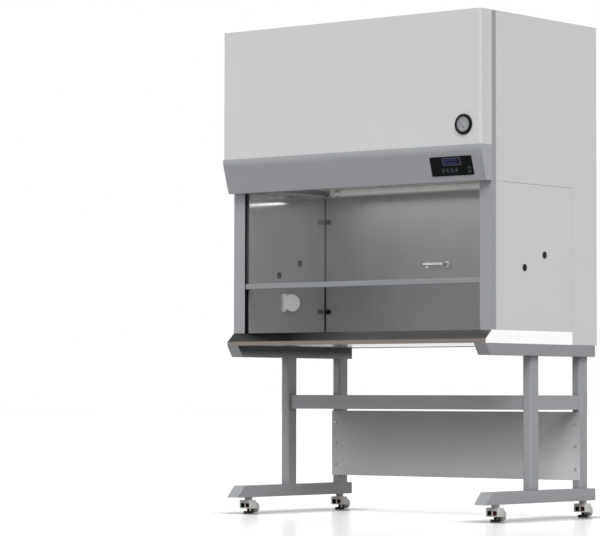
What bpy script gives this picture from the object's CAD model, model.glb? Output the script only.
from math import cos, pi, radians, sin
import bpy
import bmesh
from mathutils import Matrix, Vector


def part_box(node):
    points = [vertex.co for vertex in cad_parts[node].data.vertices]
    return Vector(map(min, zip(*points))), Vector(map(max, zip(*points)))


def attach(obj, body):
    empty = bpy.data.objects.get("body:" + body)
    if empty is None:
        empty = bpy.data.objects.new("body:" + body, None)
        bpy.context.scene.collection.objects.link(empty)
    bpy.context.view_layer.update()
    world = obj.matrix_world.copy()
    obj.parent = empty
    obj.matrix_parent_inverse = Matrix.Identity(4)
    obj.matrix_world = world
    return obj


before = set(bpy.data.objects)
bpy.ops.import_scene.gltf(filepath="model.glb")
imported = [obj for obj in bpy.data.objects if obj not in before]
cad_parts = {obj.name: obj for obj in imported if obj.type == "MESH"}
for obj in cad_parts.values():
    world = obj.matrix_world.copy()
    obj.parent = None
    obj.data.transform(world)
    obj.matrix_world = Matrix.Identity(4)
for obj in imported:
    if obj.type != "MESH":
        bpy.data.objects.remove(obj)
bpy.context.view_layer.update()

# Biosafety cabinet on its stand. Metres, front to -Y, floor at z = 0.


# ---- small helpers ----
def low(node):
    return Vector(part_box(node)[0])


def high(node):
    return Vector(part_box(node)[1])


def middle(node):
    return (low(node) + high(node)) / 2


def srgb(r, g, b):
    """A colour from 0-255 screen values to the linear values that shaders take."""
    linear = []
    for value in (r, g, b):
        v = value / 255
        linear.append(v / 12.92 if v <= 0.04045 else ((v + 0.055) / 1.055) ** 2.4)
    return (*linear, 1.0)


def scaled(color, factor):
    """A linear colour made lighter or darker."""
    return (*[min(1.0, c * factor) for c in color[:3]], 1.0)


# ---- materials ----
CORNER_REACH = 0.11         # how far dust and shade gather from a corner
MIX_FACTOR, MIX_FIRST, MIX_SECOND = 0, 6, 7     # colour sockets of a Mix node
MIX_RESULT = 2


class Look:
    """A material being made: its shader, and the nodes that feed it."""

    def __init__(self, name, **values):
        self.material = bpy.data.materials.new(name)
        self.material.use_nodes = True
        self.nodes = self.material.node_tree.nodes
        self.shader = self.nodes["Principled BSDF"]
        self.place = self.add("ShaderNodeTexCoord").outputs["Object"]
        for key, value in values.items():
            self.shader.inputs[key.replace("_", " ")].default_value = value

    def add(self, kind, inputs=None, **settings):
        """A new node. inputs holds a plain value or another node's socket for each input."""
        node = self.nodes.new(kind)
        for key, value in settings.items():
            setattr(node, key, value)
        for key, value in (inputs or {}).items():
            if isinstance(value, bpy.types.NodeSocket):
                self.material.node_tree.links.new(value, node.inputs[key])
            else:
                node.inputs[key].default_value = value
        return node

    def feed(self, socket, source):
        """Links source to one of the shader's inputs."""
        self.material.node_tree.links.new(source, self.shader.inputs[socket])

    def stretched(self, scale):
        node = self.add("ShaderNodeMapping", {"Vector": self.place})
        node.inputs["Scale"].default_value = scale
        return node.outputs["Vector"]

    def parts(self, vector):
        """The X, Y and Z outputs of a vector."""
        return self.add("ShaderNodeSeparateXYZ", {"Vector": vector}).outputs

    def normal(self):
        return self.add("ShaderNodeNewGeometry").outputs["Normal"]

    def noise(self, scale, detail=3.0, rough=0.55, where=None):
        values = {"Vector": where or self.place, "Scale": scale, "Detail": detail, "Roughness": rough}
        return self.add("ShaderNodeTexNoise", values).outputs["Fac"]

    def spread(self, source, lowest, highest, start=0.3, end=0.7):
        """source, from start to end, turned into a number from lowest to highest."""
        values = {"Value": source, "From Min": start, "From Max": end, "To Min": lowest, "To Max": highest}
        return self.add("ShaderNodeMapRange", values).outputs["Result"]

    def mix(self, factor, first, second):
        """The colour first where factor is 0, and second where it is 1."""
        values = {MIX_FACTOR: factor, MIX_FIRST: first, MIX_SECOND: second}
        return self.add("ShaderNodeMix", values, data_type="RGBA").outputs[MIX_RESULT]

    def math(self, operation, first, second=0.0):
        """The result of a Math node on numbers or sockets."""
        return self.add("ShaderNodeMath", {0: first, 1: second}, operation=operation).outputs[0]

    def height(self, source, strength, distance, soft_edge=0.0):
        """Bump from source, over edges that are rounded by soft_edge metres."""
        values = {"Height": source, "Strength": strength, "Distance": distance}
        if soft_edge:
            bevel = self.add("ShaderNodeBevel", {"Radius": soft_edge}, samples=4)
            values["Normal"] = bevel.outputs["Normal"]
        self.feed("Normal", self.add("ShaderNodeBump", values).outputs["Normal"])

    def edges(self, radius):
        """0 on flat areas, towards 1 at edges."""
        bevel = self.add("ShaderNodeBevel", {"Radius": radius}, samples=4)
        values = {0: bevel.outputs["Normal"], 1: self.normal()}
        dot = self.add("ShaderNodeVectorMath", values, operation="DOT_PRODUCT")
        return self.spread(dot.outputs["Value"], 1.0, 0.0, 0.80, 0.995)

    def recolour(self, factor, color):
        """Lays color over the present base colour, where factor is 1."""
        plain = self.shader.inputs["Base Color"].links[0].from_socket
        self.feed("Base Color", self.mix(factor, plain, color))


def painted(name, color, rough=0.42, grain=650.0, corners=0.0):
    """Powder coat: fine orange peel, a faint cloudiness, edges that catch the light, dust in corners."""
    look = Look(name, Specular_IOR_Level=0.28, Coat_Weight=0.03, Coat_Roughness=0.3)
    cloud = look.spread(look.noise(2.2, 4.0), 0.0, 1.0)
    base = look.mix(cloud, scaled(color, 0.975), scaled(color, 1.02))
    fine = look.spread(look.noise(260.0, 2.0), 0.0, 0.35)
    base = look.mix(fine, base, scaled(color, 0.965))
    base = look.mix(look.math("MULTIPLY", look.edges(0.0018), 0.35), base, scaled(color, 1.25))
    if corners:
        near = look.add("ShaderNodeAmbientOcclusion", {"Distance": CORNER_REACH}, samples=6).outputs["AO"]
        base = look.mix(look.spread(near, corners, 0.0, 0.15, 0.85), base, scaled(color, 0.12))
    look.feed("Base Color", base)
    look.feed("Roughness", look.spread(look.noise(5.0, 3.0), rough - 0.05, rough + 0.07))
    look.height(look.noise(grain, 2.0), 0.12, 0.0003, 0.0009)
    return look


def steel(name, color, rough=0.34, along=(1, 1, 40), metal=0.9, streak=0.07, rough_spread=0.075):
    """Brushed stainless: streaks that run one way, faint clouding and rubbed edges."""
    look = Look(name, Metallic=metal, Specular_IOR_Level=0.5)
    coarse = look.noise(7.0, 5.0, 0.6, look.stretched(along))
    fine = look.noise(60.0, 3.0, 0.7, look.stretched(along))
    cloud = look.spread(look.noise(1.6, 3.0), 0.0, 1.0)
    base = look.mix(look.spread(coarse, 0.0, 1.0), scaled(color, 1.0 - streak), scaled(color, 1.0 + streak))
    base = look.mix(look.math("MULTIPLY", cloud, 0.3), base, scaled(color, 0.94))
    base = look.mix(look.math("MULTIPLY", look.edges(0.0015), 0.4), base, scaled(color, 1.3))
    look.feed("Base Color", base)
    look.feed("Roughness", look.spread(fine, rough - rough_spread, rough + rough_spread))
    look.height(fine, 0.10, 0.0002, 0.0008)
    return look


def moulded(name, color, rough=0.4, grain=900.0, gloss=0.5):
    """Moulded plastic: fine spark-eroded texture, and a little wear on the corners."""
    look = Look(name, Specular_IOR_Level=gloss)
    mottle = look.spread(look.noise(45.0, 3.0), 0.0, 1.0)
    base = look.mix(mottle, scaled(color, 0.93), scaled(color, 1.06))
    base = look.mix(look.math("MULTIPLY", look.edges(0.0010), 0.3), base, scaled(color, 1.5))
    look.feed("Base Color", base)
    look.feed("Roughness", look.spread(look.noise(30.0, 3.0), rough - 0.06, rough + 0.08))
    look.height(look.noise(grain, 2.0), 0.15, 0.00015, 0.0005)
    return look


LIP_HEIGHT = 0.016          # lip of the base pan
HOUSING_WALL = 0.004        # caster housing
HOUSING_FRONT = 0.0225      # its front and rear faces, from the foot's axis
HOUSING_TOP = 0.054
COLUMN_PITCH = 0.0024       # columns of the display
RING_HEIGHT = 0.021         # foot of a caster's winding ring

WHITE = srgb(201, 202, 202)
BAND = srgb(150, 152, 156)
PILLAR = srgb(150, 152, 156)
STAND = srgb(149, 151, 154)
BLACK = srgb(15, 16, 17)

looks = {
    "white": painted("satin_white_paint", WHITE),
    "pillar": painted("pillar_grey_paint", PILLAR),
    "stand_grey": painted("stand_grey_paint", STAND, corners=0.6),
    "wall": steel("wall_stainless", srgb(196, 195, 196), 0.11, (40, 40, 1), 0.75, 0.03, 0.025),
    "baffle": steel("baffle_stainless", srgb(141, 141, 143), 0.40, (40, 40, 1), 0.30),
    "tray": steel("tray_stainless", srgb(190, 188, 186), 0.30, (1, 45, 45)),
    "bright": steel("handle_stainless", srgb(200, 198, 195), 0.22, (30, 30, 30), 1.0),
    "galvanised": steel("galvanised_sheet", srgb(165, 168, 170), 0.45, (6, 6, 6), 0.85, 0.16),
    "aluminium": steel("anodised_grey", srgb(130, 133, 136), 0.38, (1, 60, 60), 0.45, 0.03),
    "impeller": steel("spun_aluminium", srgb(185, 187, 190), 0.30, (30, 30, 2), 0.95),
    "bolt": steel("zinc_plate", srgb(150, 150, 150), 0.33, (30, 30, 30), 0.9),
    "lamp_white": painted("lamp_white_enamel", srgb(226, 226, 224), 0.35),
    "black_plastic": moulded("black_moulding", BLACK, 0.42, gloss=0.12),
    "panel_black": moulded("black_membrane", srgb(6, 10, 11), 0.35, 500.0, 0.06),
    "key_grey": moulded("key_moulding", srgb(30, 35, 37), 0.45, gloss=0.12),
    "wheel": moulded("grey_nylon_tread", srgb(176, 175, 171), 0.40, gloss=0.3),
    "light_grey": moulded("light_grey_moulding", srgb(196, 198, 198), 0.34),
    "motor": painted("black_enamel", srgb(42, 43, 46), 0.35),
    "trim": moulded("display_trim", srgb(84, 84, 104), 0.4, gloss=0.15),
    "print": moulded("grey_print", srgb(88, 95, 98), 0.6, gloss=0.1),
    "figures": moulded("display_figures", srgb(62, 64, 112), 0.5, gloss=0.1),
    "mark": moulded("dark_print", srgb(40, 42, 46), 0.6, gloss=0.15),
    "seal": moulded("black_sealant", srgb(28, 28, 29), 0.55, gloss=0.15),
}


def base_pan_look():
    """Polished stainless pan: bright ends, a dark sloping front and a warm-toned lip."""
    look = Look("base_pan_stainless", Metallic=0.9, Specular_IOR_Level=0.5)
    streak = look.noise(7.0, 5.0, 0.6, look.stretched((1, 50, 50)))
    place = look.parts(look.place)
    facing = look.parts(look.normal())
    dark = look.spread(place["X"], 0.0, 1.0, -0.34, -0.02)
    slope = look.mix(dark, srgb(6, 7, 8), srgb(144, 142, 141))
    lip_top = low("base_pan").z + LIP_HEIGHT
    above = look.spread(place["Z"], 0.0, 1.0, lip_top - 0.0005, lip_top + 0.0005)
    front = look.mix(above, srgb(124, 115, 109), slope)
    forward = look.spread(facing["Y"], 1.0, 0.0, -0.35, -0.15)
    below = look.spread(facing["Z"], 1.0, 0.0, -0.8, -0.5)
    rest = look.mix(below, srgb(255, 255, 255), srgb(176, 175, 170))
    base = look.mix(forward, rest, front)
    base = look.mix(look.spread(streak, 0.0, 0.14), base, srgb(128, 127, 126))
    look.feed("Base Color", base)
    look.feed("Roughness", look.spread(streak, 0.14, 0.24))
    look.height(streak, 0.08, 0.0002, 0.0008)
    return look


def housing_look(corner):
    """Off-white nylon, dark inside the housing and round its winding ring."""
    look = Look("off_white_nylon_" + corner, Specular_IOR_Level=0.4)
    lowest = low("caster_housing_" + corner)
    highest = high("caster_housing_" + corner)
    place = look.parts(look.place)
    axis = middle("caster_foot_" + corner)
    across = look.math("ABSOLUTE", look.math("SUBTRACT", place["X"], axis.x))
    along = look.math("ABSOLUTE", look.math("SUBTRACT", place["Y"], axis.y))
    half_width = (highest.x - lowest.x) / 2 - HOUSING_WALL
    half_length = HOUSING_FRONT - HOUSING_WALL
    inside_x = look.spread(across, 1.0, 0.0, half_width + 0.0002, half_width + 0.0010)
    inside_y = look.spread(along, 1.0, 0.0, half_length + 0.0002, half_length + 0.0010)
    under = look.spread(place["Z"], 1.0, 0.0, HOUSING_TOP - 0.0046, HOUSING_TOP - 0.0038)
    inside = look.math("MULTIPLY", look.math("MULTIPLY", inside_x, inside_y), under)
    mottle = look.spread(look.noise(45.0, 3.0), 0.0, 1.0)
    nylon = look.mix(mottle, srgb(188, 188, 184), srgb(204, 204, 200))
    look.feed("Base Color", look.mix(inside, nylon, srgb(24, 20, 19)))
    look.feed("Roughness", look.spread(look.noise(30.0, 3.0), 0.34, 0.48))
    look.height(look.noise(900.0, 2.0), 0.15, 0.00015, 0.0008)
    return look


def foot_look():
    """Rubber pad below, and a red-brown winding ring above it."""
    look = Look("foot_rubber", Specular_IOR_Level=0.2)
    ring = look.spread(look.parts(look.place)["Z"], 0.0, 1.0, RING_HEIGHT - 0.0005, RING_HEIGHT + 0.0005)
    mottle = look.spread(look.noise(120.0, 3.0), 0.0, 1.0)
    rubber = look.mix(mottle, srgb(22, 21, 21), srgb(36, 34, 33))
    brown = look.mix(mottle, srgb(88, 32, 22), srgb(108, 42, 30))
    look.feed("Base Color", look.mix(ring, rubber, brown))
    look.feed("Roughness", look.spread(look.noise(60.0), 0.45, 0.65))
    look.height(look.noise(500.0), 0.2, 0.0003, 0.0006)
    return look


def iron_look():
    """Rough cast iron with darker patches."""
    look = Look("cast_iron", Metallic=0.6, Specular_IOR_Level=0.4)
    patch = look.spread(look.noise(14.0, 6.0, 0.65), 0.0, 1.0)
    look.feed("Base Color", look.mix(patch, srgb(58, 58, 60), srgb(86, 84, 82)))
    look.feed("Roughness", look.spread(look.noise(40.0), 0.5, 0.75))
    look.height(look.noise(220.0, 4.0), 0.5, 0.0006, 0.001)
    return look


def filter_look():
    """Pleated glass paper: fibre mottling over fine cross threads."""
    look = Look("glass_paper", Roughness=0.85, Specular_IOR_Level=0.2)
    fibre = look.noise(240.0, 5.0, 0.7, look.stretched((1, 6, 1)))
    look.feed("Base Color", look.mix(look.spread(fibre, 0.0, 1.0), srgb(222, 221, 214), srgb(240, 240, 236)))
    look.height(fibre, 0.5, 0.0005)
    return look


def dial_look():
    """Pale printed dial with a fine fleck."""
    look = Look("dial_face", Roughness=0.5)
    fleck = look.spread(look.noise(300.0, 2.0), 0.0, 1.0)
    look.feed("Base Color", look.mix(fleck, srgb(134, 137, 141), srgb(146, 149, 153)))
    look.height(look.noise(700.0), 0.1, 0.0002)
    return look


def lcd_look():
    """Dark blue-violet display with faint columns and a dim glow."""
    look = Look("display_glass", Roughness=0.3, Specular_IOR_Level=0.08, Emission_Strength=0.06)
    wave = look.math("SINE", look.math("MULTIPLY", look.parts(look.place)["X"], 2 * pi / COLUMN_PITCH))
    stripe = look.spread(wave, 0.0, 1.0, -0.2, 0.2)
    cloud = look.spread(look.noise(60.0, 2.0), 0.0, 1.0)
    base = look.mix(stripe, srgb(12, 12, 28), srgb(19, 19, 42))
    look.feed("Base Color", base)
    look.feed("Emission Color", look.mix(cloud, srgb(22, 22, 46), srgb(30, 32, 66)))
    return look


def tube_look():
    """Opal fluorescent tube, a shade darker towards its ends."""
    look = Look("opal_tube", Roughness=0.25, Emission_Strength=0.10)
    reach = look.math("ABSOLUTE", look.parts(look.place)["X"])
    end = look.spread(reach, 0.0, 1.0, 0.405, 0.445)
    haze = look.spread(look.noise(20.0, 2.0), 0.0, 1.0)
    body = look.mix(haze, srgb(212, 212, 209), srgb(222, 222, 219))
    look.feed("Base Color", look.mix(end, body, srgb(150, 148, 144)))
    look.feed("Emission Color", look.mix(end, body, srgb(120, 118, 112)))
    return look


def glass_look():
    """Safety glass with a faint warm tint, fine dust and wiping marks."""
    look = Look("safety_glass", Roughness=0.06, Specular_IOR_Level=0.5, IOR=1.5)
    wipe = look.noise(9.0, 4.0, 0.6, look.stretched((1, 1, 0.35)))
    look.feed("Base Color", look.mix(look.spread(wipe, 0.0, 1.0), srgb(190, 187, 184), srgb(204, 201, 198)))
    look.feed("Alpha", look.spread(wipe, 0.045, 0.065))
    look.feed("Roughness", look.spread(wipe, 0.05, 0.10))
    return look


def lens_look():
    """Clear plastic with faint dust."""
    look = Look("gauge_lens", Roughness=0.04, IOR=1.49)
    dust = look.noise(90.0, 3.0)
    tint = look.mix(look.spread(dust, 0.0, 1.0), srgb(215, 217, 220), srgb(230, 232, 235))
    look.feed("Base Color", tint)
    look.feed("Alpha", look.spread(dust, 0.10, 0.14))
    return look


def top_beam_look():
    """Stand paint, dark on the underside and on the upper part of the inner face."""
    look = painted("top_beam_paint", srgb(140, 142, 145), corners=0.85)
    facing = look.parts(look.normal())
    place = look.parts(look.place)
    below = look.spread(facing["Z"], 1.0, 0.0, -0.9, -0.6)
    inward = look.math("MULTIPLY", facing["X"], look.math("SIGN", place["X"]))
    inward = look.spread(inward, 1.0, 0.0, -0.8, -0.5)
    top = high("stand_top_beams").z
    upper = look.spread(place["Z"], 0.0, 1.0, top - 0.042, top - 0.018)
    dark = look.math("MAXIMUM", below, look.math("MULTIPLY", inward, upper))
    look.recolour(dark, srgb(30, 30, 31))
    return look


def band_look():
    """Band paint, a shade paler on the bend under the cover."""
    look = painted("band_grey_paint", BAND)
    bend = look.spread(look.parts(look.normal())["Z"], 0.0, 1.0, -0.24, -0.06)
    look.recolour(bend, scaled(BAND, 1.14))
    return look


def privacy_look():
    """Stand paint, paler towards the foot of the panel."""
    look = painted("privacy_panel_paint", srgb(200, 201, 202))
    height = look.parts(look.place)["Z"]
    up = look.spread(height, 0.0, 0.75, low("privacy_panel").z + 0.05, high("privacy_panel").z + 0.02)
    look.recolour(up, srgb(128, 129, 130))
    return look


looks.update({
    "top_beam": top_beam_look(),
    "grey": band_look(),
    "panel": privacy_look(),
    "pan": base_pan_look(),
    "foot": foot_look(),
    "iron": iron_look(),
    "filter": filter_look(),
    "dial": dial_look(),
    "lcd": lcd_look(),
    "lamp": tube_look(),
    "glass": glass_look(),
    "lens": lens_look(),
    "needle": moulded("needle_black", srgb(22, 22, 24), 0.4),
})

NODE_LOOKS = {
    "white": ("side_panels", "lower_side_panels", "top_panel", "rear_panel", "front_cover"),
    "grey": ("control_band",),
    "pillar": ("front_pillars",),
    "stand_grey": ("stand_foot_beams", "stand_legs", "stand_rails"),
    "top_beam": ("stand_top_beams",),
    "panel": ("privacy_panel",),
    "pan": ("base_pan",),
    "wall": ("inner_walls",),
    "baffle": ("back_baffle",),
    "tray": ("work_tray", "front_grille"),
    "bright": ("baffle_handle",),
    "lamp_white": ("ceiling_diffuser", "lamp_batten"),
    "lamp": ("lamp_tube",),
    "black_plastic": ("port_plugs", "sash_guides", "gauge_case", "baffle_knobs"),
    "glass": ("sash_glass",),
    "aluminium": ("sash_rails",),
    "iron": ("counterweights",),
    "galvanised": ("weight_guides", "plenum_box", "blower_housing"),
    "filter": ("hepa_filters",),
    "impeller": ("blower_impeller",),
    "motor": ("blower_motor",),
    "panel_black": ("control_panel",),
    "lcd": ("lcd_display",),
    "key_grey": ("key_fan", "key_lamp", "key_socket", "key_mute", "key_up", "key_down"),
    "dial": ("gauge_dial",),
    "needle": ("gauge_needle",),
    "lens": ("gauge_lens",),
    "light_grey": ("socket_box", "socket_cover"),
    "bolt": ("panel_bolts",),
}
CORNERS = ("front_left", "front_right", "rear_left", "rear_right")
for corner in CORNERS:
    looks["housing_" + corner] = housing_look(corner)
    NODE_LOOKS["housing_" + corner] = ("caster_housing_" + corner,)
    for look_name, stem in (("wheel", "caster_wheel_"), ("foot", "caster_foot_")):
        NODE_LOOKS[look_name] = NODE_LOOKS.get(look_name, ()) + (stem + corner,)


def wear(obj, look_name):
    """obj gets one material in place of whatever it came with."""
    slots = obj.data.materials
    if len(slots) == 0:
        slots.append(looks[look_name].material)
    for index in range(len(slots)):
        slots[index] = looks[look_name].material


for look_name, nodes in NODE_LOOKS.items():
    for node in nodes:
        wear(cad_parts[node], look_name)


# ---- camera ----
CAMERA_X = 7.1234           # from the middle of the cabinet
CAMERA_AHEAD = 9.1329       # in front of the pillar faces
CAMERA_HEIGHT = 0.4817
CAMERA_YAW = 39.104         # degrees
CAMERA_PITCH = 2.5228
CAMERA_ROLL = 0.1146
LENS = 174.63               # mm
SENSOR = 36.0

pillar_face = low("front_pillars").y
camera_data = bpy.data.cameras.new("camera")
camera_data.lens = LENS
camera_data.sensor_width = SENSOR
camera_data.clip_end = 200.0
camera = bpy.data.objects.new("camera", camera_data)
bpy.context.scene.collection.objects.link(camera)
turn = Matrix.Rotation(radians(CAMERA_YAW), 4, "Z") @ Matrix.Rotation(radians(90 + CAMERA_PITCH), 4, "X")
turn = turn @ Matrix.Rotation(radians(CAMERA_ROLL), 4, "Z")
camera.matrix_world = Matrix.Translation((CAMERA_X, pillar_face - CAMERA_AHEAD, CAMERA_HEIGHT)) @ turn
bpy.context.scene.camera = camera


# ---- mesh helpers for the added pieces ----
def new_object(name, mesh, look_name, body):
    """An added piece: its look, the body that it rides on, and its slot in the exported model."""
    obj = bpy.data.objects.new(name, mesh)
    bpy.context.scene.collection.objects.link(obj)
    mesh.materials.append(looks[look_name].material)
    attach(obj, body)


SHARP = radians(35.0)
TINY = 1e-9                 # keeps a division from meeting zero
PARALLEL = 0.999            # cosine above which a face counts as part of the plane


def smooth_sides(mesh):
    """Smooth shading, with edges kept sharp where faces meet at more than SHARP."""
    bm = bmesh.new()
    bm.from_mesh(mesh)
    for face in bm.faces:
        face.smooth = True
    for edge in bm.edges:
        if len(edge.link_faces) == 2 and edge.calc_face_angle() > SHARP:
            edge.smooth = False
    bm.to_mesh(mesh)
    bm.free()


def bridge(bm, first, second):
    """Faces between two closed loops with the same number of points."""
    for i in range(len(first)):
        j = (i + 1) % len(first)
        bm.faces.new((first[i], first[j], second[j], second[i]))


def finished(bm, name):
    """The mesh of bm, with its faces turned outward."""
    bmesh.ops.recalc_face_normals(bm, faces=bm.faces)
    mesh = bpy.data.meshes.new(name)
    bm.to_mesh(mesh)
    bm.free()
    return mesh


def outline_plate(outlines, thickness, to_world, chamfer=0.0):
    """Flat closed outlines, raised by thickness along the plane's normal, with a small chamfer on top."""
    bm = bmesh.new()
    for points in outlines:
        center = Vector((sum(p[0] for p in points) / len(points), sum(p[1] for p in points) / len(points)))
        rings = []
        for height, inset in ((0.0, 0.0), (thickness - chamfer, 0.0), (thickness, chamfer)):
            ring = []
            for x, y in points:
                away = Vector((x, y)) - center
                spot = center + away * (1 - inset / max(away.length, TINY))
                ring.append(bm.verts.new(to_world @ Vector((spot.x, spot.y, height))))
            rings.append(ring)
        for below, above in zip(rings, rings[1:]):
            bridge(bm, below, above)
        bm.faces.new(rings[-1])
        bm.faces.new(list(reversed(rings[0])))
    return finished(bm, "plate")


def ring_plate(outer, inner, thickness, to_world):
    """A flat frame between two outlines with the same number of points."""
    bm = bmesh.new()
    loops = []
    for points, height in ((outer, 0.0), (outer, thickness), (inner, thickness), (inner, 0.0)):
        loops.append([bm.verts.new(to_world @ Vector((x, y, height))) for x, y in points])
    for a, b in zip(loops, loops[1:] + loops[:1]):
        bridge(bm, a, b)
    return finished(bm, "ring")


def sloped_ring(levels, plane, steps=64):
    """A ring from (radius, height) points, turned about the plane's normal and closed."""
    bm = bmesh.new()
    loops = []
    for radius, height in levels:
        loops.append([bm.verts.new(plane @ Vector((x, y, height))) for x, y in disc(radius, steps)])
    for a, b in zip(loops, loops[1:] + loops[:1]):
        bridge(bm, a, b)
    mesh = finished(bm, "sloped_ring")
    smooth_sides(mesh)
    return mesh


def lathe(profile, center, steps=32):
    """A profile of (x, radius) points turned about the X axis."""
    bm = bmesh.new()
    rings = []
    for x, radius in profile:
        rings.append([bm.verts.new((center[0] + x, center[1] + y, center[2] + z))
                      for y, z in disc(radius, steps)])
    for a, b in zip(rings, rings[1:]):
        bridge(bm, a, b)
    bm.faces.new(rings[0])
    bm.faces.new(rings[-1])
    mesh = finished(bm, "lathe")
    smooth_sides(mesh)
    return mesh


def rounded(width, height, radius, steps=6, center=(0.0, 0.0)):
    """The outline of a rectangle with round corners."""
    points = []
    corners = ((1, 1, 0), (-1, 1, 90), (-1, -1, 180), (1, -1, 270))
    for sx, sy, start in corners:
        cx = center[0] + sx * (width / 2 - radius)
        cy = center[1] + sy * (height / 2 - radius)
        for k in range(steps + 1):
            angle = radians(start + 90 * k / steps)
            points.append((cx + radius * cos(angle), cy + radius * sin(angle)))
    return points


def disc(radius, steps, center=(0.0, 0.0)):
    """The outline of a disc."""
    return [(center[0] + radius * cos(2 * pi * k / steps), center[1] + radius * sin(2 * pi * k / steps))
            for k in range(steps)]


def bar(start, end, width):
    """A straight stroke as an outline."""
    a = Vector(start)
    b = Vector(end)
    side = (b - a).normalized().orthogonal() * (width / 2)
    return [tuple(a + side), tuple(a - side), tuple(b - side), tuple(b + side)]


def arc(radius, width, start, end, steps):
    """A curved stroke about the origin, as short straight pieces."""
    strokes = []
    inner = radius - width / 2
    outer = radius + width / 2
    for k in range(steps):
        first = radians(start + (end - start) * k / steps)
        last = radians(start + (end - start) * (k + 1) / steps)
        strokes.append([(r * cos(a), r * sin(a)) for r, a in
                        ((inner, first), (outer, first), (outer, last), (inner, last))])
    return strokes


def front_plane(node):
    """The plane of a node's foremost flat face: x to the right, y up the face, z out of it."""
    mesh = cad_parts[node].data
    best = max(mesh.polygons, key=lambda f: -f.normal.y * f.area)
    normal = best.normal.normalized()
    right = Vector((1, 0, 0))
    up = normal.cross(right).normalized()
    reach = max(mesh.vertices[i].co.dot(normal) for f in mesh.polygons for i in f.vertices
                if f.normal.dot(normal) > PARALLEL)
    box_middle = middle(node)
    origin = box_middle + normal * (reach - box_middle.dot(normal))
    return Matrix((
        (right.x, up.x, normal.x, origin.x),
        (right.y, up.y, normal.y, origin.y),
        (right.z, up.z, normal.z, origin.z),
        (0, 0, 0, 1)))


# ---- display: pale frame and plain bar figures ----
PRINT = 0.00012             # thickness of printed marks
LCD_TALL = 0.025
LCD_EDGE = 0.0022           # width of the frame outside the display
LCD_FRAME = 0.0006          # its thickness
FIGURE_SIZE = (0.0028, 0.0058)
FIGURE_ROUND = 0.0004
FIGURE_PITCH = 0.0042
FIGURE_START = -0.034
FIGURE_ROWS = ((0.0055, (5, 3, 4)), (-0.0055, (4, 6, 2)))       # height, and figures in each word

lcd_plane = front_plane("lcd_display")
lcd_width = high("lcd_display").x - low("lcd_display").x
lcd_frame = ring_plate(
    rounded(lcd_width + 2 * LCD_EDGE, LCD_TALL + 2 * LCD_EDGE, 0.003),
    rounded(lcd_width - 0.001, LCD_TALL - 0.001, 0.0015), LCD_FRAME, lcd_plane)
new_object("lcd_frame", lcd_frame, "trim", "cabinet")

figures = []
for y, words in FIGURE_ROWS:
    x = FIGURE_START
    for length in words:
        for _ in range(length):
            figures.append(rounded(*FIGURE_SIZE, FIGURE_ROUND, 2, (x, y)))
            x += FIGURE_PITCH
        x += FIGURE_PITCH
new_object("lcd_figures", outline_plate(figures, PRINT, lcd_plane), "figures", "cabinet")


# ---- key symbols: plain signs for lamp, fan, socket, silence, up and down ----
STROKE = 0.0008
RAYS = 8
BLADES = 3


def polar(radius, angle):
    return (radius * cos(angle), radius * sin(angle))


def key_symbol(kind):
    """The outlines of one sign, about 10 mm across."""
    if kind == "lamp":
        strokes = [disc(0.0024, 20)]
        for k in range(RAYS):
            angle = 2 * pi * k / RAYS
            strokes.append(bar(polar(0.0035, angle), polar(0.0052, angle), STROKE))
        return strokes
    if kind == "fan":
        strokes = [disc(0.0010, 14)]
        for k in range(BLADES):
            angle = 2 * pi * k / BLADES + 0.4
            strokes.append([polar(0.0012, angle), polar(0.0050, angle - 0.45), polar(0.0054, angle),
                            polar(0.0046, angle + 0.5)])
        return strokes
    if kind == "socket":
        pins = [disc(STROKE, 12, (-0.0018, 0)), disc(STROKE, 12, (0.0018, 0))]
        return arc(0.0046, STROKE, 0, 360, 24) + pins
    if kind == "mute":
        bell = [(-0.0038, -0.0026), (-0.0026, 0.0010), (-0.0014, 0.0034), (0.0014, 0.0034), (0.0026, 0.0010),
                (0.0038, -0.0026)]
        return [bell, bar((-0.0052, -0.0048), (0.0052, 0.0050), STROKE)]
    tip = 0.0030 if kind == "up" else -0.0030
    return [[(-0.0045, -tip), (0.0045, -tip), (0.0, tip)]]


for kind in ("fan", "lamp", "socket", "mute", "up", "down"):
    node = "key_" + kind
    symbol = outline_plate(key_symbol(kind), PRINT, front_plane(node))
    new_object("symbol_" + kind, symbol, "print", node)


# ---- gauge: scale marks on the dial, and a dark ring between it and the lens ----
SCALE_START = 210           # degrees
SCALE_SWEEP = 240
SCALE_RADIUS = 0.0262
TICKS = 21
LONG_TICK = (0.0062, 0.0011)        # length and width
SHORT_TICK = (0.0036, 0.0006)
BEZEL = ((0.0294, -0.0026), (0.0294, -0.0017), (0.0284, -0.0017), (0.0268, -0.0023), (0.0268, -0.0026))

marks = []
for k in range(TICKS):
    angle = radians(SCALE_START - SCALE_SWEEP * k / (TICKS - 1))
    length, width = LONG_TICK if k % 5 == 0 else SHORT_TICK
    marks.append(bar(polar(SCALE_RADIUS - length, angle), polar(SCALE_RADIUS, angle), width))
marks += arc(0.0172, 0.0007, SCALE_START - SCALE_SWEEP, SCALE_START, 40)
new_object("gauge_marks", outline_plate(marks, PRINT, front_plane("gauge_dial")), "mark", "cabinet")
bezel = sloped_ring(BEZEL, front_plane("gauge_lens"))
new_object("gauge_bezel", bezel, "black_plastic", "cabinet")

# ---- lamp: metal end caps on the tube ----
CAP_LENGTH = 0.022
CAP_WALL = 0.0005
SIDES = (("left", -1), ("right", 1))

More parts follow.
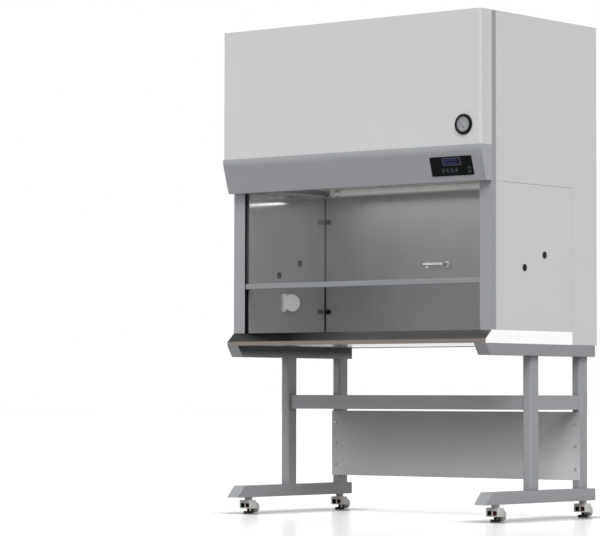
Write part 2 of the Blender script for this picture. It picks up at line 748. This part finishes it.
tube_low = low("lamp_tube")
tube_high = high("lamp_tube")
tube_axis = middle("lamp_tube")
tube_radius = (tube_high.z - tube_low.z) / 2
for side, sign in SIDES:
    end_x = tube_high.x if sign > 0 else tube_low.x
    profile = [(-sign * CAP_LENGTH, tube_radius), (-sign * (CAP_LENGTH - 0.001), tube_radius + CAP_WALL),
               (-sign * 0.002, tube_radius + CAP_WALL), (-sign * 0.0004, tube_radius - 0.001)]
    cap = lathe(profile, (end_x, tube_axis.y, tube_axis.z))
    new_object("lamp_cap_" + side, cap, "bright", "cabinet")


# ---- black sealant beads in the rear corners of the chamber ----
BEAD = 0.004
BEAD_STEPS = 6
BEAD_FOOT = 0.012           # above the tray
BEAD_TOP = 0.032            # below the diffuser
CLEAR = 0.0003
WALL_SHEET = 0.0015


def upright_bead(x, y, z_low, z_high, side):
    """A quarter-round bead in an upright corner, with its round face into the chamber."""
    section = [(0.0, 0.0)] + [polar(BEAD, radians(90 * k / BEAD_STEPS)) for k in range(BEAD_STEPS + 1)]
    to_world = Matrix(((-side, 0, 0, x), (0, -1, 0, y), (0, 0, 1, z_low), (0, 0, 0, 1)))
    mesh = outline_plate([section], z_high - z_low, to_world)
    smooth_sides(mesh)
    return mesh


chamber_left = low("inner_walls").x + WALL_SHEET + CLEAR
chamber_right = high("inner_walls").x - WALL_SHEET - CLEAR
chamber_front = low("inner_walls").y + 0.002
chamber_back = low("back_baffle").y - CLEAR
diffuser = low("ceiling_diffuser").z
for side, sign in SIDES:
    corner_x = chamber_right if sign > 0 else chamber_left
    bead = upright_bead(corner_x, chamber_back, high("work_tray").z + BEAD_FOOT, diffuser - BEAD_TOP, sign)
    new_object("corner_seal_" + side, bead, "seal", "cabinet")


# ---- pale folded trim where the ceiling meets the walls ----
TRIM_WIDTH = 0.014
TRIM_SHEET = 0.0012
TRIM_LEG = 0.010            # height of its upright leg
TRIM_BELOW = 0.0275         # its flat leg below the diffuser


def folded_trim(x_low, x_high, y_low, y_high, wall):
    """An angle of folded sheet: a flat leg, and a leg that stands against the wall named."""
    top = diffuser - TRIM_BELOW
    legs = {
        "left": (x_low, x_low + TRIM_SHEET, y_low, y_high),
        "right": (x_high - TRIM_SHEET, x_high, y_low, y_high),
        "rear": (x_low, x_high, y_high - TRIM_SHEET, y_high),
    }
    flat = (x_low, x_high, y_low, y_high, top - TRIM_SHEET, top)
    bm = bmesh.new()
    for x0, x1, y0, y1, z0, z1 in (flat, (*legs[wall], top, top + TRIM_LEG)):
        for vert in bmesh.ops.create_cube(bm, size=1.0)["verts"]:
            at = vert.co
            vert.co = Vector((x0 if at.x < 0 else x1, y0 if at.y < 0 else y1, z0 if at.z < 0 else z1))
    bmesh.ops.bevel(bm, geom=bm.edges[:], offset=TRIM_SHEET / 5, segments=2, affect="EDGES")
    mesh = bpy.data.meshes.new("trim")
    bm.to_mesh(mesh)
    bm.free()
    return mesh


TRIM_PLACES = {
    "left": (chamber_left, chamber_left + TRIM_WIDTH, chamber_front, chamber_back),
    "right": (chamber_right - TRIM_WIDTH, chamber_right, chamber_front, chamber_back),
    "rear": (chamber_left + TRIM_WIDTH + CLEAR, chamber_right - TRIM_WIDTH - CLEAR,
             chamber_back - TRIM_WIDTH, chamber_back),
}
for wall, place in TRIM_PLACES.items():
    new_object("ceiling_trim_" + wall, folded_trim(*place, wall), "lamp_white", "cabinet")


# ---- plastic caps on the rear ends of the stand's tubes ----
BEAM_WIDTH = 0.057
CAP_EDGE = 0.0004           # the cap's outline inside the tube's
CAP_THICK = 0.004
CAP_ROUND = 0.004
CAP_CHAMFER = 0.0012

for node, name in (("stand_top_beams", "top_beam_cap_"), ("stand_foot_beams", "foot_beam_cap_")):
    lowest = low(node)
    highest = high(node)
    shape = rounded(BEAM_WIDTH - 2 * CAP_EDGE, highest.z - lowest.z - 2 * CAP_EDGE, CAP_ROUND)
    for side, x in (("left", lowest.x + BEAM_WIDTH / 2), ("right", highest.x - BEAM_WIDTH / 2)):
        to_world = Matrix(((-1, 0, 0, x), (0, 0, 1, highest.y), (0, 1, 0, middle(node).z), (0, 0, 0, 1)))
        cap = outline_plate([shape], CAP_THICK, to_world, CAP_CHAMFER)
        smooth_sides(cap)
        new_object(name + side, cap, "black_plastic", "cabinet")


# ---- floor ----
FLOOR_HALF = 60.0
FLOOR_SEEN = (0.98, 0.98, 0.98, 1)      # its colour to the camera and in reflections
FLOOR_BOUNCE = (0.40, 0.40, 0.40, 1)    # its colour as it lights the object
FLOOR_SHADE = (0.05, 0.05, 0.05, 1)     # its colour right under a piece
FLOOR_GLOW = 0.25                       # share of plain white in what is seen
GLOW_LEVEL = 1.35
CONTACT_REACH = 0.18
CONTACT_DEPTH = 6.0


def backdrop_rays(tree):
    """1 for rays that see the white surroundings: the camera's, reflected ones and those through glass."""
    paths = tree.nodes.new("ShaderNodeLightPath")
    seen = paths.outputs["Is Camera Ray"]
    for ray in ("Is Glossy Ray", "Is Transmission Ray"):
        either = tree.nodes.new("ShaderNodeMath")
        either.operation = "MAXIMUM"
        tree.links.new(seen, either.inputs[0])
        tree.links.new(paths.outputs[ray], either.inputs[1])
        seen = either.outputs[0]
    return seen


floor_mesh = bpy.data.meshes.new("floor")
floor_mesh.from_pydata(
    [(-FLOOR_HALF, -FLOOR_HALF, 0), (FLOOR_HALF, -FLOOR_HALF, 0), (FLOOR_HALF, FLOOR_HALF, 0),
     (-FLOOR_HALF, FLOOR_HALF, 0)], [], [(0, 1, 2, 3)])
floor = bpy.data.objects.new("floor", floor_mesh)
bpy.context.scene.collection.objects.link(floor)

pale = Look("pale_floor", Roughness=0.18)
seen = backdrop_rays(pale.material.node_tree)
contact = pale.add("ShaderNodeAmbientOcclusion", {"Distance": CONTACT_REACH}, samples=8).outputs["AO"]
clear = pale.math("POWER", contact, CONTACT_DEPTH)
pale.feed("Base Color", pale.mix(clear, FLOOR_SHADE, pale.mix(seen, FLOOR_BOUNCE, FLOOR_SEEN)))
glow_strength = pale.math("MULTIPLY", clear, GLOW_LEVEL)
glow = pale.add("ShaderNodeEmission", {"Color": (1, 1, 1, 1), "Strength": glow_strength})
shaders = {0: pale.math("MULTIPLY", seen, FLOOR_GLOW), 1: pale.shader.outputs[0], 2: glow.outputs[0]}
both = pale.add("ShaderNodeMixShader", shaders)
pale.material.node_tree.links.new(both.outputs[0], pale.nodes["Material Output"].inputs["Surface"])
floor_mesh.materials.append(pale.material)


# ---- light ----
AMBIENT = 0.64              # of the world on the object; it is seen as plain white
SUNS = (                    # name, strength, where it comes from, spread in degrees, seen in reflections
    ("key", 2.12, (0.50, -0.50, 0.69), 40.0, True),
    ("fill", 0.36, (-0.7, -0.5, 0.5), 60.0, True),
    ("back", 0.75, (-0.35, 0.85, 0.30), 60.0, False),
)
STRIP_SIZE = (0.9, 0.05)    # the soft light under the chamber's lamp
STRIP_POWER = 0.9
STRIP_DROP = 0.03

world = bpy.data.worlds.new("studio")
bpy.context.scene.world = world
world.use_nodes = True
background = world.node_tree.nodes["Background"]
background.inputs["Color"].default_value = (1, 1, 1, 1)
level = world.node_tree.nodes.new("ShaderNodeMapRange")
level.inputs["To Min"].default_value = AMBIENT
level.inputs["To Max"].default_value = 1.0
world.node_tree.links.new(backdrop_rays(world.node_tree), level.inputs["Value"])
world.node_tree.links.new(level.outputs["Result"], background.inputs["Strength"])

for name, strength, toward, spread, mirrored in SUNS:
    sun_data = bpy.data.lights.new(name, "SUN")
    sun_data.energy = strength
    sun_data.angle = radians(spread)
    sun = bpy.data.objects.new(name, sun_data)
    sun.rotation_euler = Vector(toward).to_track_quat("Z", "Y").to_euler()
    sun.visible_glossy = mirrored
    bpy.context.scene.collection.objects.link(sun)

strip_data = bpy.data.lights.new("chamber_strip", "AREA")
strip_data.shape = "RECTANGLE"
strip_data.size, strip_data.size_y = STRIP_SIZE
strip_data.energy = STRIP_POWER
strip = bpy.data.objects.new("chamber_strip", strip_data)
strip.location = (0, tube_axis.y, tube_axis.z - STRIP_DROP)
bpy.context.scene.collection.objects.link(strip)

bpy.context.scene.view_settings.view_transform = "Standard"
